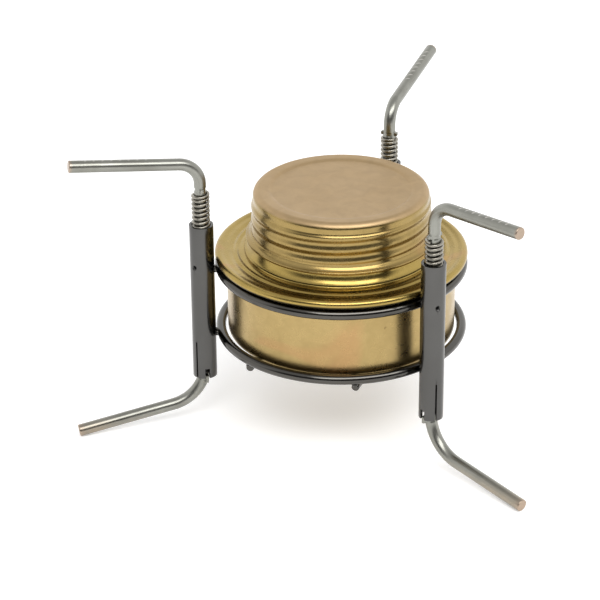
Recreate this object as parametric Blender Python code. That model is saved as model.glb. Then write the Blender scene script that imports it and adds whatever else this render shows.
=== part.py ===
"""Folding three-leg stand with a screw-capped spirit burner hanging in it by its rim.

Two wire rings carry three upright tubes. A bent rod turns in each tube: its upper end is a pot arm and its
lower end a leg. A coil spring pushes each rod up, so that a pair of ears on the rod finds a pair of notches
in the tube's lower end. Pressing the arm down frees the rod, and it then turns half a turn to fold inwards.
"""

import math

import bmesh
import bpy
from mathutils import Matrix, Vector

MM = 0.001

# The stand's upright axis crosses the floor here, which puts the origin under the middle of the footprint.
AXIS = Vector((-0.844 * MM, -17.647 * MM, 0.0))

# Upright tubes: name, direction from the axis, how far the rod's plane is turned from that one as the parts
# are welded, and direction of the slit measured from the rod's plane. All in degrees.
TUBES = (("left", 210.0, 6.7, 37.3), ("right", 330.0, 3.5, -21.5), ("rear", 90.0, 0.0, 30.0))
TUBE_CIRCLE = 41.5 * MM
TUBE_R = 3.6 * MM
TUBE_WALL = 0.75 * MM
TUBE_BOTTOM = 15.6 * MM
TUBE_TOP = 65.2 * MM
SLIT_WIDTH = 0.5 * MM
SLIT_HEIGHT = 12.0 * MM
NOTCH_WIDTH = 1.5 * MM
NOTCH_HEIGHT = 3.2 * MM

# Dents that form the spring's seat, pressed into the tube wall from outside.
DENT_Z = 52.3 * MM
DENT_R = 0.95 * MM
DENT_BUMP_AT = 3.1 * MM
DENT_PIT_AT = 3.95 * MM

# Wire rings and the two straight wires under the lower ring.
RING_R = 36.1 * MM
RING_WIRE_R = 1.5 * MM
UPPER_RING_Z = 50.5 * MM
LOWER_RING_Z = 29.6 * MM
CROSS_WIRE_R = 1.1 * MM
CROSS_WIRE_X = 16.5 * MM
CROSS_WIRE_HALF = 32.0 * MM
GAP = 0.3 * MM

# Bent rods. The arm rises a little towards its tip and the leg falls to the floor. The three are bent by hand
# and differ: arm height at the tube's axis, arm reach, arm rise, leg reach, leg fall and upper ears' height.
ROD_R = 1.8 * MM
ROD_SIDES = 10
ROD_BENDS = {
    "left": (84.4 * MM, 38.2 * MM, 5.5, 39.3 * MM, 9.2, 76.5 * MM),
    "right": (83.2 * MM, 32.8 * MM, 4.2, 37.4 * MM, 5.9, 73.7 * MM),
    "rear": (83.0 * MM, 38.7 * MM, 8.1, 39.2 * MM, 9.2, 74.9 * MM),
}
ARM_BEND_R = 6.7 * MM
LEG_BEND_R = 12.0 * MM
BEND_STEPS = 7

# Pressed nicks along the top of the arm, which stop a pot from sliding. The last is this far from the tip.
NICKS = 8
NICK_LAST = 4.8 * MM
NICK_PITCH = 2.52 * MM
NICK_DEPTH = 0.4 * MM
NICK_HALF = 0.6 * MM

# Ears: the upper pair holds the spring down, the lower pair sits just under the notches.
EAR_THICK = 1.0 * MM
EAR_HEIGHT = 1.2 * MM
UPPER_EAR_HALF = 2.65 * MM
LOWER_EAR_HALF = 3.3 * MM
LOWER_EAR_Z = TUBE_BOTTOM - GAP - EAR_HEIGHT / 2

# Springs
SPRING_R = 2.32 * MM
SPRING_WIRE_R = 0.42 * MM
SPRING_PITCH = 1.42 * MM
SPRING_CLOSED_PITCH = 0.93 * MM
SPRING_CLOSED_TURNS = 1.25
SPRING_STEPS = 12
SPRING_SIDES = 4

# Burner: outer cup, top with rim, shoulder and threaded neck, and what is inside.
BASE_Z = 28.9 * MM
BODY_R = 34.0 * MM
BODY_WALL = 0.5 * MM
BODY_TOP = 54.1 * MM
BODY_FILLET = 1.6 * MM
RIM_R = 36.2 * MM
RIM_BEAD_R = 1.3 * MM
RIM_Z = 53.75 * MM
RIM_BORE = 34.6 * MM
SHOULDER_Z = RIM_Z + RIM_BEAD_R
SHEET = 0.5 * MM
FOOT_R = 27.9 * MM
FOOT_RISE = 0.8 * MM
NECK_R = 27.0 * MM
NECK_BAND_TOP = 58.0 * MM
NECK_MID = 25.7 * MM
NECK_BORE = 24.8 * MM
NECK_TOP = 71.6 * MM
MOUTH_R = 20.9 * MM
SKIRT_BOTTOM = 60.0 * MM
JETS = 24
JET_R = 0.55 * MM
JET_CIRCLE = 23.0 * MM
SLEEVE_R = 20.6 * MM
SLEEVE_TOP = 66.0 * MM
WICK_IN = 21.2 * MM
WICK_OUT = 33.1 * MM
WICK_TOP = 52.0 * MM

# Screw cap and its seal. Neck and cap share one right-hand knuckle thread.
THREAD_PITCH = 3.7 * MM
THREAD_AMP = 0.4 * MM
THREAD_ROWS = 5
THREAD_FADE = 1.0 * MM
CAP_MID = 26.6 * MM
CAP_TOP = 74.0 * MM
CAP_PANEL = 73.5 * MM
CAP_ROOF = 0.6 * MM
CAP_PANEL_R = 21.0 * MM
CAP_BEAD_R = 2.1 * MM
CAP_BEAD_AT = 24.0 * MM
CAP_SIDE_R = 25.9 * MM
CAP_SIDE_Z = 71.2 * MM
CAP_LIP = 58.9 * MM
CAP_LIP_R = 28.2 * MM
CAP_THREAD = (61.0 * MM, 71.0 * MM)
NECK_THREAD = (60.0 * MM, 70.6 * MM)
SEAL_IN = 20.5 * MM
SEAL_OUT = 25.0 * MM
SEAL_Z = (71.9 * MM, 72.6 * MM)

ROUND = 32
WIRE_STEPS = 48
WIRE_SIDES = 8


def clear_scene():
    for item in list(bpy.data.objects):
        bpy.data.objects.remove(item)


def make_material(name, colour, roughness, metallic):
    material = bpy.data.materials.new(name)
    material.use_nodes = True
    shader = material.node_tree.nodes["Principled BSDF"]
    shader.inputs["Base Color"].default_value = (*colour, 1.0)
    shader.inputs["Roughness"].default_value = roughness
    shader.inputs["Metallic"].default_value = metallic
    return material


def make_empty(name, location, turn=0.0):
    empty = bpy.data.objects.new(name, None)
    empty.location = location
    empty.rotation_euler = (0.0, 0.0, turn)
    bpy.context.scene.collection.objects.link(empty)
    return empty


def make_object(name, shape, parent, material=None):
    """Turns a bmesh into a smooth-shaded object on its parent. Without a material it is a hidden cutter."""
    bmesh.ops.recalc_face_normals(shape, faces=shape.faces)
    mesh = bpy.data.meshes.new(name)
    shape.to_mesh(mesh)
    shape.free()
    item = bpy.data.objects.new(name, mesh)
    item.parent = parent
    bpy.context.scene.collection.objects.link(item)
    if material is None:
        item.hide_render = True
        item.display_type = "WIRE"
        return item
    mesh.materials.append(material)
    mesh.shade_smooth()
    mesh.set_sharp_from_angle(angle=math.radians(35))
    return item


def combine(item, tool, operation):
    modifier = item.modifiers.new(tool.name, "BOOLEAN")
    modifier.operation = operation
    modifier.object = tool


def skin(shape, rings, wrap):
    """Joins rings of vertices with faces, and the last ring back to the first if wrap is set."""
    pairs = list(zip(rings, rings[1:]))
    if wrap:
        pairs.append((rings[-1], rings[0]))
    for low, high in pairs:
        for i in range(len(low)):
            j = (i + 1) % len(low)
            shape.faces.new((low[i], low[j], high[j], high[i]))


def turned(rows, steps, wrap=True):
    """Solid of rotation. A row is (radius, height, thread amplitude).

    With wrap the rows run round a ring's section. Without it the first and last rows close on the axis.
    """
    shape = bmesh.new()
    rings = []
    for radius, height, amplitude in rows:
        ring = []
        for i in range(steps):
            angle = 2 * math.pi * i / steps
            r = radius + amplitude * math.cos(2 * math.pi * height / THREAD_PITCH - angle)
            ring.append(shape.verts.new((r * math.cos(angle), r * math.sin(angle), height)))
        rings.append(ring)
    skin(shape, rings, wrap)
    if not wrap:
        shape.faces.new(rings[0])
        shape.faces.new(rings[-1])
    return shape


def plain(points):
    return [(radius, height, 0.0) for radius, height in points]


def arc(centre, radius, start, end, steps):
    """Points on an arc in the (radius, height) plane, angles in degrees."""
    angles = [math.radians(start + (end - start) * i / steps) for i in range(steps + 1)]
    return [(centre[0] + radius * math.cos(a), centre[1] + radius * math.sin(a)) for a in angles]


def fade(distance):
    t = min(max(distance / THREAD_FADE, 0.0), 1.0)
    return t * t * (3 - 2 * t)


def thread_rows(span, middle, low_shift=0.0, high_shift=0.0):
    """Rows of a screw thread that fades out at both ends, where its radius moves by the two shifts."""
    low, high = span
    count = round((high - low) / THREAD_PITCH * THREAD_ROWS)
    rows = []
    for i in range(count + 1):
        z = low + (high - low) * i / count
        from_low = fade(z - low)
        to_high = fade(high - z)
        radius = middle + low_shift * (1 - from_low) + high_shift * (1 - to_high)
        rows.append((radius, z, THREAD_AMP * from_low * to_high))
    return rows


def swept(centres, normals, radius, sides):
    """Round bar along centres. normals are unit vectors square to the path."""
    shape = bmesh.new()
    rings = []
    for i, (centre, normal) in enumerate(zip(centres, normals)):
        before = centres[max(i - 1, 0)]
        after = centres[min(i + 1, len(centres) - 1)]
        side = (after - before).normalized().cross(normal)
        ring = []
        for k in range(sides):
            angle = 2 * math.pi * k / sides
            offset = normal * math.cos(angle) + side * math.sin(angle)
            ring.append(shape.verts.new(centre + radius * offset))
        rings.append(ring)
    skin(shape, rings, False)
    shape.faces.new(rings[0])
    shape.faces.new(rings[-1])
    return shape


def block(shape, size, centre, turn=0.0):
    place = Matrix.Rotation(turn, 4, "Z") @ Matrix.Translation(centre) @ Matrix.Diagonal((*size, 1.0))
    bmesh.ops.create_cube(shape, size=1.0, matrix=place)


def make_ring(name, height, axis, material):
    section = plain(arc((RING_R, height), RING_WIRE_R, 0, 360 - 360 / WIRE_SIDES, WIRE_SIDES - 1))
    return make_object(name, turned(section, WIRE_STEPS), axis, material)


def make_cross_wire(name, x, axis, material):
    z = LOWER_RING_Z - RING_WIRE_R - GAP - CROSS_WIRE_R
    ends = [Vector((x, -CROSS_WIRE_HALF, z)), Vector((x, CROSS_WIRE_HALF, z))]
    return make_object(name, swept(ends, [Vector((1, 0, 0))] * 2, CROSS_WIRE_R, WIRE_SIDES), axis, material)


def make_tube(side, slit_turn, axis, material):
    inner = TUBE_R - TUBE_WALL
    section = plain([(inner, TUBE_BOTTOM), (TUBE_R, TUBE_BOTTOM), (TUBE_R, TUBE_TOP), (inner, TUBE_TOP)])
    tube = make_object(f"tube_{side}", turned(section, ROUND), axis, material)
    bumps = bmesh.new()
    cuts = bmesh.new()
    for turn in (slit_turn, slit_turn + math.pi):
        outwards = Vector((math.cos(turn), math.sin(turn), 0))
        height = Vector((0, 0, DENT_Z))
        for shape, reach in ((bumps, DENT_BUMP_AT), (cuts, DENT_PIT_AT)):
            place = Matrix.Translation(outwards * reach + height)
            bmesh.ops.create_uvsphere(shape, u_segments=8, v_segments=6, radius=DENT_R, matrix=place)
    slit = (2 * TUBE_WALL, SLIT_WIDTH, 2 * SLIT_HEIGHT)
    block(cuts, slit, (TUBE_R - TUBE_WALL / 2, 0, TUBE_BOTTOM), slit_turn)
    for direction in (90, 270):
        notch = (2 * TUBE_WALL, NOTCH_WIDTH, 2 * NOTCH_HEIGHT)
        block(cuts, notch, (TUBE_R - TUBE_WALL / 2, 0, TUBE_BOTTOM), math.radians(direction))
    combine(tube, make_object(f"tube_{side}_bumps", bumps, axis), "UNION")
    combine(tube, make_object(f"tube_{side}_cuts", cuts, axis), "DIFFERENCE")
    return tube


def rod_path(side):
    """Centre line in the rod's own plane: X runs outwards from the tube's axis, from arm tip to leg tip."""
    arm_z, arm_reach, arm_rise, leg_reach, leg_fall = ROD_BENDS[side][:5]
    rise = math.radians(arm_rise)
    fall = math.radians(leg_fall)
    up = ARM_BEND_R * math.tan((math.pi / 2 - rise) / 2)
    top = arc((ARM_BEND_R, arm_z - up), ARM_BEND_R, 90 + arm_rise, 180, BEND_STEPS)
    foot_z = ROD_R * math.cos(math.pi / ROD_SIDES) * math.cos(fall)
    leg_z = foot_z + leg_reach * math.tan(fall)
    down = LEG_BEND_R * math.tan((math.pi / 2 - fall) / 2)
    bottom = arc((LEG_BEND_R, leg_z + down), LEG_BEND_R, 180, 270 - leg_fall, BEND_STEPS)
    tip = (arm_reach, arm_z + arm_reach * math.tan(rise))
    points = [tip, *top, *bottom, (leg_reach, foot_z)]
    return [Vector((x, 0, z)) for x, z in points]


def make_nicks(side):
    """Wedges that cut the nicks into the top of the arm."""
    arm_z, arm_reach, arm_rise = ROD_BENDS[side][:3]
    rise = math.radians(arm_rise)
    crest = ROD_R * math.cos(math.pi / ROD_SIDES)
    wedge = [(-NICK_HALF, crest + NICK_DEPTH), (NICK_HALF, crest + NICK_DEPTH), (0, crest - NICK_DEPTH)]
    shape = bmesh.new()
    for i in range(NICKS):
        x = arm_reach - NICK_LAST - NICK_PITCH * i
        middle = Vector((x, 0, arm_z + x * math.tan(rise)))
        place = Matrix.Translation(middle) @ Matrix.Rotation(-rise, 4, "Y")
        rings = []
        for y in (-2 * ROD_R, 2 * ROD_R):
            rings.append([shape.verts.new(place @ Vector((u, y, v))) for u, v in wedge])
        skin(shape, rings, False)
        shape.faces.new(rings[0])
        shape.faces.new(rings[1])
    return shape


def make_leg(side, axis, material):
    path = rod_path(side)
    bar = swept(path, [Vector((0, 1, 0))] * len(path), ROD_R, ROD_SIDES)
    rod = make_object(f"leg_{side}", bar, axis, material)
    ears = bmesh.new()
    block(ears, (EAR_THICK, 2 * UPPER_EAR_HALF, EAR_HEIGHT), (0, 0, ROD_BENDS[side][5]))
    block(ears, (EAR_THICK, 2 * LOWER_EAR_HALF, EAR_HEIGHT), (0, 0, LOWER_EAR_Z))
    combine(rod, make_object(f"leg_{side}_ears", ears, axis), "UNION")
    combine(rod, make_object(f"leg_{side}_nicks", make_nicks(side), axis), "DIFFERENCE")
    return rod


def make_spring(side, axis, material):
    low = DENT_Z + DENT_R + GAP + SPRING_WIRE_R
    high = ROD_BENDS[side][5] - EAR_HEIGHT / 2 - GAP - SPRING_WIRE_R
    closed_rise = SPRING_CLOSED_TURNS * SPRING_CLOSED_PITCH
    open_turns = (high - low - 2 * closed_rise) / SPRING_PITCH
    turns = open_turns + 2 * SPRING_CLOSED_TURNS
    count = round(turns * SPRING_STEPS)
    centres = []
    normals = []
    for i in range(count + 1):
        turn = turns * i / count
        closed = min(turn, SPRING_CLOSED_TURNS) + max(turn - SPRING_CLOSED_TURNS - open_turns, 0)
        height = low + closed * SPRING_CLOSED_PITCH + (turn - closed) * SPRING_PITCH
        outwards = Vector((math.cos(2 * math.pi * turn), math.sin(2 * math.pi * turn), 0))
        centres.append(outwards * SPRING_R + Vector((0, 0, height)))
        normals.append(outwards)
    coil = swept(centres, normals, SPRING_WIRE_R, SPRING_SIDES)
    return make_object(f"spring_{side}", coil, axis, material)


def make_burner_body(axis, material):
    inner = BODY_R - BODY_WALL
    outside = arc((BODY_R - BODY_FILLET, BASE_Z + BODY_FILLET), BODY_FILLET, -90, 0, 3)
    inside = arc((inner - BODY_FILLET, BASE_Z + BODY_WALL + BODY_FILLET), BODY_FILLET, 0, -90, 3)
    points = [(inner / 2, BASE_Z), *outside, (BODY_R, BODY_TOP), (inner, BODY_TOP), *inside]
    points.append((inner / 2, BASE_Z + BODY_WALL))
    return make_object("burner_body", turned(plain(points), ROUND, wrap=False), axis, material)


def make_burner_top(axis, material):
    """Rim bead, flat shoulder, flared foot, plain band and threaded neck, its mouth turned in and down."""
    rim = arc((RIM_R, RIM_Z), RIM_BEAD_R, -90, 90, 6)
    foot = [(FOOT_R + FOOT_RISE, SHOULDER_Z - GAP / 2), (FOOT_R, SHOULDER_Z + GAP / 2)]
    foot += [(NECK_R + GAP / 2, SHOULDER_Z + FOOT_RISE), (NECK_R, NECK_BAND_TOP)]
    foot += [(NECK_R - FOOT_RISE, NECK_BAND_TOP + FOOT_RISE)]
    thread = thread_rows(NECK_THREAD, NECK_MID, high_shift=-THREAD_AMP)
    top = [(NECK_BORE + THREAD_AMP, NECK_TOP - GAP), (NECK_BORE, NECK_TOP), (MOUTH_R, NECK_TOP)]
    skirt = [(MOUTH_R, SKIRT_BOTTOM), (MOUTH_R + SHEET, SKIRT_BOTTOM), (MOUTH_R + SHEET, NECK_TOP - SHEET)]
    bore = NECK_BORE - 2 * SHEET * math.tan(math.pi / 8)
    inside = [(bore, NECK_TOP - SHEET), (NECK_BORE - SHEET / 2, NECK_THREAD[1] - SHEET)]
    inside += [(NECK_BORE, NECK_THREAD[0] - SHEET), (NECK_R - SHEET, NECK_BAND_TOP - SHEET / 2)]
    inside += [(NECK_R - SHEET, SHOULDER_Z - SHEET)]
    inside += [(RIM_BORE, SHOULDER_Z - SHEET), (RIM_BORE, RIM_Z - RIM_BEAD_R)]
    rows = plain(rim + foot) + thread + plain(top + skirt + inside)
    neck = make_object("burner_top", turned(rows, ROUND), axis, material)
    jets = bmesh.new()
    for i in range(JETS):
        angle = 2 * math.pi * (i + 0.5) / JETS
        place = Matrix.Rotation(angle, 4, "Z") @ Matrix.Translation((JET_CIRCLE, 0, NECK_TOP - SHEET / 2))
        bmesh.ops.create_cone(
            jets, cap_ends=True, segments=6, radius1=JET_R, radius2=JET_R, depth=3 * SHEET, matrix=place
        )
    combine(neck, make_object("burner_jets", jets, axis), "DIFFERENCE")
    return neck


def make_tube_ring(name, inner, outer, low, high, axis, material):
    section = plain([(inner, low), (outer, low), (outer, high), (inner, high)])
    return make_object(name, turned(section, ROUND), axis, material)


def make_cap(axis, material):
    """Screw cap, from the top's middle outwards and down to the lip, then back up the inside."""
    edge = arc((CAP_BEAD_AT, CAP_TOP - CAP_BEAD_R), CAP_BEAD_R, 90, 0, 4)
    outside = plain([(CAP_PANEL_R / 2, CAP_PANEL), (CAP_PANEL_R, CAP_PANEL)])
    outside += plain([(CAP_PANEL_R + 2 * SHEET, CAP_TOP), *edge, (CAP_SIDE_R, CAP_SIDE_Z)])
    outside += list(reversed(thread_rows(CAP_THREAD, CAP_MID, low_shift=THREAD_AMP)))
    throat = CAP_LIP_R - 2 * SHEET
    lip = plain([(throat, CAP_LIP + CAP_BEAD_R), (CAP_LIP_R, CAP_LIP + CAP_ROOF), (CAP_LIP_R, CAP_LIP)])
    lip += plain([(CAP_LIP_R - SHEET, CAP_LIP), (throat - SHEET, CAP_LIP + 2 * CAP_ROOF)])
    inside = thread_rows(CAP_THREAD, CAP_MID - SHEET, low_shift=THREAD_AMP)
    roof = CAP_PANEL - CAP_ROOF
    inside += plain([(CAP_SIDE_R - SHEET, CAP_SIDE_Z), (CAP_SIDE_R - SHEET, roof), (CAP_PANEL_R / 2, roof)])
    return make_object("screw_cap", turned(outside + lip + inside, ROUND, wrap=False), axis, material)


def build():
    clear_scene()
    plated = make_material("black_nickel", (0.05, 0.05, 0.05), 0.2, 1.0)
    tube_grey = make_material("grey_nickel", (0.14, 0.14, 0.13), 0.35, 1.0)
    steel = make_material("nickelled_steel", (0.38, 0.37, 0.34), 0.3, 1.0)
    bright = make_material("spring_steel", (0.45, 0.44, 0.42), 0.25, 1.0)
    brass = make_material("brass", (0.6, 0.43, 0.17), 0.3, 1.0)
    cotton = make_material("cotton_wick", (0.75, 0.7, 0.6), 0.95, 0.0)
    rubber = make_material("rubber_seal", (0.05, 0.045, 0.04), 0.7, 0.0)

    axis = make_empty("stand_axis", AXIS)
    make_ring("upper_ring", UPPER_RING_Z, axis, plated)
    make_ring("lower_ring", LOWER_RING_Z, axis, plated)
    make_cross_wire("cross_wire_left", -CROSS_WIRE_X, axis, plated)
    make_cross_wire("cross_wire_right", CROSS_WIRE_X, axis, plated)
    for side, degrees, turned_by, slit in TUBES:
        direction = math.radians(degrees)
        outwards = Vector((math.cos(direction), math.sin(direction), 0))
        plane = direction + math.radians(turned_by)
        tube_axis = make_empty(f"tube_axis_{side}", AXIS + outwards * TUBE_CIRCLE, plane)
        make_tube(side, math.radians(slit), tube_axis, tube_grey)
        make_leg(side, tube_axis, steel)
        make_spring(side, tube_axis, bright)

    make_burner_body(axis, brass)
    make_burner_top(axis, brass)
    make_tube_ring("inner_sleeve", SLEEVE_R - SHEET, SLEEVE_R, BASE_Z + 1.1 * MM, SLEEVE_TOP, axis, brass)
    make_tube_ring("wick", WICK_IN, WICK_OUT, BASE_Z + BODY_WALL + BODY_FILLET, WICK_TOP, axis, cotton)
    make_tube_ring("cap_seal", SEAL_IN, SEAL_OUT, *SEAL_Z, axis, rubber)
    make_cap(axis, brass)


build()
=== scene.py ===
"""Spirit burner in its folding stand: fine pieces, materials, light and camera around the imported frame."""

import math

import bmesh
import bpy
from mathutils import Matrix, Vector, noise


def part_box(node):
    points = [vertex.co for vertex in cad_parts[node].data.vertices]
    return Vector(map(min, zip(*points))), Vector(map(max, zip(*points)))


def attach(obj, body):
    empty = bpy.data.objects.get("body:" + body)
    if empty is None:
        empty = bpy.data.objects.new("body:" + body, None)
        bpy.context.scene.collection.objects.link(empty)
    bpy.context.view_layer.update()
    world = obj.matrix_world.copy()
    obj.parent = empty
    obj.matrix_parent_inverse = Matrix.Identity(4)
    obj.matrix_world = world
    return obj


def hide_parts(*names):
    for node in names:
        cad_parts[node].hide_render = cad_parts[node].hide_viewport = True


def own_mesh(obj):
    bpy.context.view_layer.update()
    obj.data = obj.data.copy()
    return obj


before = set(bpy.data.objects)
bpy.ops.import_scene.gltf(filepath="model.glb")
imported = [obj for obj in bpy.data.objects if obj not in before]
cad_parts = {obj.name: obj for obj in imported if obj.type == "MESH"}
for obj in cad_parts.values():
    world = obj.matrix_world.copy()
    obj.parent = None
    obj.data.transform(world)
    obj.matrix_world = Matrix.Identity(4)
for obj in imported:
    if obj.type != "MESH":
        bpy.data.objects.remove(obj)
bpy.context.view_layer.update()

MM = 0.001
SIDES = ("left", "right", "rear")


# ---------------------------------------------------------------- places and sizes, read from the frame

def middle(node):
    low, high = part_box(node)
    return (Vector(low) + Vector(high)) / 2


def size(node):
    low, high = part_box(node)
    return Vector(high) - Vector(low)


AXIS = Vector((middle("burner_body").x, middle("burner_body").y, 0.0))
TUBE_AXIS = {side: Vector((middle(f"tube_{side}").x, middle(f"tube_{side}").y, 0.0)) for side in SIDES}
OUTWARDS = {side: (TUBE_AXIS[side] - AXIS).normalized() for side in SIDES}

# How far each rod's plane is turned about its tube from the direction straight out
ROD_TURN = {"left": math.radians(6.7), "right": math.radians(3.5), "rear": 0.0}
ROD_PLANE = {side: math.atan2(OUTWARDS[side].y, OUTWARDS[side].x) + ROD_TURN[side] for side in SIDES}
TUBE_R = size("tube_rear").x / 2
TUBE_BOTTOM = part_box("tube_rear")[0][2]
TUBE_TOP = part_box("tube_rear")[1][2]
RING_WIRE_R = size("upper_ring").z / 2
RING_R = size("upper_ring").x / 2 - RING_WIRE_R
CROSS_WIRE_R = size("cross_wire_left").z / 2
CROSS_WIRE_HALF = size("cross_wire_left").y / 2
BASE_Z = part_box("burner_body")[0][2]
BODY_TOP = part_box("burner_body")[1][2]
BODY_R = size("burner_body").x / 2
RIM_EDGE = size("burner_top").x / 2
RIM_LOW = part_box("burner_top")[0][2]
NECK_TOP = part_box("burner_top")[1][2]
CAP_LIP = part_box("screw_cap")[0][2]
CAP_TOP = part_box("screw_cap")[1][2]
CAP_LIP_R = size("screw_cap").x / 2

# Details of the tubes
TUBE_WALL = 0.75 * MM
SLIT_TURN = {"left": math.radians(37.3), "right": math.radians(-21.5), "rear": math.radians(30)}
SLIT_HALF = 0.25 * MM
SLIT_TOP = TUBE_BOTTOM + 12 * MM
NOTCH_HALF = 0.75 * MM
NOTCH_TOP = TUBE_BOTTOM + 3.2 * MM
DENT_Z = 52.3 * MM
DENT_R = 0.78 * MM
DENT_DEPTH = 0.55 * MM

# Details of the rods. Bends: arm height at the tube's axis, arm reach, arm rise, leg reach and leg fall.
# The upper ears press on the spring's top.
ROD_R = 1.8 * MM
ROD_BENDS = {
    "left": (84.4 * MM, 38.2 * MM, math.radians(5.5), 39.3 * MM, math.radians(9.2)),
    "right": (83.2 * MM, 32.8 * MM, math.radians(4.2), 37.4 * MM, math.radians(5.9)),
    "rear": (82.95 * MM, 38.7 * MM, math.radians(8.1), 39.2 * MM, math.radians(9.2)),
}
ARM_BEND_R = 6.7 * MM
LEG_BEND_R = 12 * MM
ROD_EDGE = 0.32 * MM
BEND_TURNS = 24
NICKS = 8
NICK_LAST = 4.8 * MM
NICK_PITCH = 2.52 * MM
NICK_DEPTH = {"left": 0.07 * MM, "right": 0.24 * MM, "rear": 0.24 * MM}
NICK_HALF = 0.42 * MM
NICK_SKEW = {"left": math.radians(16), "right": math.radians(16), "rear": math.radians(-24)}
UPPER_EAR_HALF = 2.65 * MM
LOWER_EAR_HALF = 3.3 * MM
EAR_HALF_THICK = 0.5 * MM
EAR_HALF_HEIGHT = {"upper": 0.6 * MM, "lower": 1.2 * MM}
EAR_Z = {side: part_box(f"spring_{side}")[1][2] + 0.9 * MM for side in SIDES}
LOWER_EAR_Z = TUBE_BOTTOM - 0.3 * MM

# Light and dark of each cloudy metal
BLACK_PLATE = (0.088, 0.084, 0.076), (0.074, 0.07, 0.064)
GREY_PLATE = (0.102, 0.1, 0.096), (0.09, 0.088, 0.084)
BODY_BRASS = (0.4, 0.29, 0.124), (0.34, 0.245, 0.1)
TOP_BRASS = (0.39, 0.28, 0.085), (0.33, 0.235, 0.068)
CAP_BRASS = (0.35, 0.25, 0.095), (0.29, 0.205, 0.075)
SPRING_WIRE = (0.34, 0.32, 0.275), (0.24, 0.225, 0.19)

# Colours of marks. The brown is at the feet, and the shade is on the rod inside its tube.
# Painted shade: near-black colour for the inside of the tubes' dents
DENT_SHADE = (0.006, 0.006, 0.006)
ROD_LIGHT = (0.29, 0.29, 0.26)
ROD_DARK = (0.24, 0.238, 0.21)
# Bare steel in the nicks, made brighter as a painted glint of the light on their faces
ROD_BARE_GLINT = (0.72, 0.7, 0.65)
ROD_BROWN = (0.38, 0.28, 0.18)
ROD_SAWN = (0.42, 0.31, 0.23)
ROD_SHADE = (0.012, 0.011, 0.01)
MATT_BRASS = (0.45, 0.32, 0.178)
WARM_STAIN = (0.42, 0.21, 0.1)
BROWN_SPOT = (0.1, 0.055, 0.025)
# Painted shade under the burner's rolled rim
RIM_UNDER_SHADE = (0.03, 0.024, 0.01)

# Thread shared by neck and cap
THREAD_PITCH = 3.7 * MM
THREAD_AMP = 0.2 * MM
THREAD_FADE = 1.2 * MM
SHEET = 0.5 * MM

# Burner top: bead of the rim, ridge and hollow of the shoulder, cove under the cap, mouth and gas holes
RIM_BEAD = 1.3 * MM
RIDGE_AT = 31.2 * MM
RIDGE_HALF = 1.1 * MM
RIDGE_RISE = 0.5 * MM
SHOULDER_DISH = 0.45 * MM
COVE_R = 3.7 * MM
COVE_TOP = 58.6 * MM
NECK_R = 26.4 * MM
MOUTH_R = 20.9 * MM
JETS = 24
JET_CIRCLE_R = 23 * MM
JET_R = 0.5 * MM


# ---------------------------------------------------------------- mesh helpers

def smoothstep(t):
    t = min(max(t, 0.0), 1.0)
    return t * t * (3 - 2 * t)


def skin(shape, rings, wrap_rows=False):
    """Joins closed rings of vertices, and the last ring back to the first if wrap_rows is set."""
    pairs = list(zip(rings, rings[1:]))
    if wrap_rows:
        pairs.append((rings[-1], rings[0]))
    for first, second in pairs:
        count = len(first)
        for i in range(count):
            j = (i + 1) % count
            shape.faces.new((first[i], first[j], second[j], second[i]))


def add_piece(name, shape, body, node, material, sharp=40):
    """Makes a smooth-shaded object of the bmesh, rides it on its body and lets it stand for its node."""
    bmesh.ops.recalc_face_normals(shape, faces=shape.faces)
    mesh = bpy.data.meshes.new(name)
    shape.to_mesh(mesh)
    shape.free()
    piece = bpy.data.objects.new(name, mesh)
    bpy.context.scene.collection.objects.link(piece)
    mesh.materials.append(material)
    mesh.shade_smooth()
    mesh.set_sharp_from_angle(angle=math.radians(sharp))
    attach(piece, body)
    if node:
        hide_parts(node)
    return piece


def arc(centre, radius, start, end, steps):
    """Points on an arc in the (radius, height) plane, angles in degrees."""
    points = []
    for i in range(steps + 1):
        a = math.radians(start + (end - start) * i / steps)
        points.append((centre[0] + radius * math.cos(a), centre[1] + radius * math.sin(a)))
    return points


def line(start, end, steps):
    """Points between two places, without the first one."""
    points = []
    for i in range(1, steps + 1):
        t = i / steps
        points.append((start[0] + (end[0] - start[0]) * t, start[1] + (end[1] - start[1]) * t))
    return points


def lathe(rows, steps=256, wobble=0.0, wobble_size=14 * MM, seed=0.0, closed=True):
    """Turned shape about the burner's axis. A row is (radius, height) or (radius, height, thread amplitude).

    wobble is how far the sheet strays from round, as a hand-polished pressing does.
    """
    shape = bmesh.new()
    rings = []
    for row in rows:
        radius, height = row[0], row[1]
        amp = row[2] if len(row) > 2 else 0.0
        ring = []
        for i in range(steps):
            angle = 2 * math.pi * i / steps
            wave = math.cos(2 * math.pi * height / THREAD_PITCH - angle)
            r = radius + amp * wave
            x, y = math.cos(angle), math.sin(angle)
            if wobble:
                place = Vector((r * x, r * y, height)) / wobble_size + Vector((seed, 0, 0))
                r += wobble * noise.noise(place)
            ring.append(shape.verts.new((AXIS.x + r * x, AXIS.y + r * y, height)))
        rings.append(ring)
    skin(shape, rings, wrap_rows=closed)
    if not closed:
        shape.faces.new(rings[0])
        shape.faces.new(rings[-1])
    return shape


def thread_rows(low, high, middle_r, low_shift=0.0, high_shift=0.0, rows_per_pitch=20):
    """Rows of the knuckle thread, fading out at both ends, where the radius moves by the two shifts."""
    count = round((high - low) / THREAD_PITCH * rows_per_pitch)
    rows = []
    for i in range(count + 1):
        z = low + (high - low) * i / count
        from_low = smoothstep((z - low) / THREAD_FADE)
        to_high = smoothstep((high - z) / THREAD_FADE)
        radius = middle_r + low_shift * (1 - from_low) + high_shift * (1 - to_high)
        rows.append((radius, z, THREAD_AMP * from_low * to_high))
    return rows


# ---------------------------------------------------------------- material helpers

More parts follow.
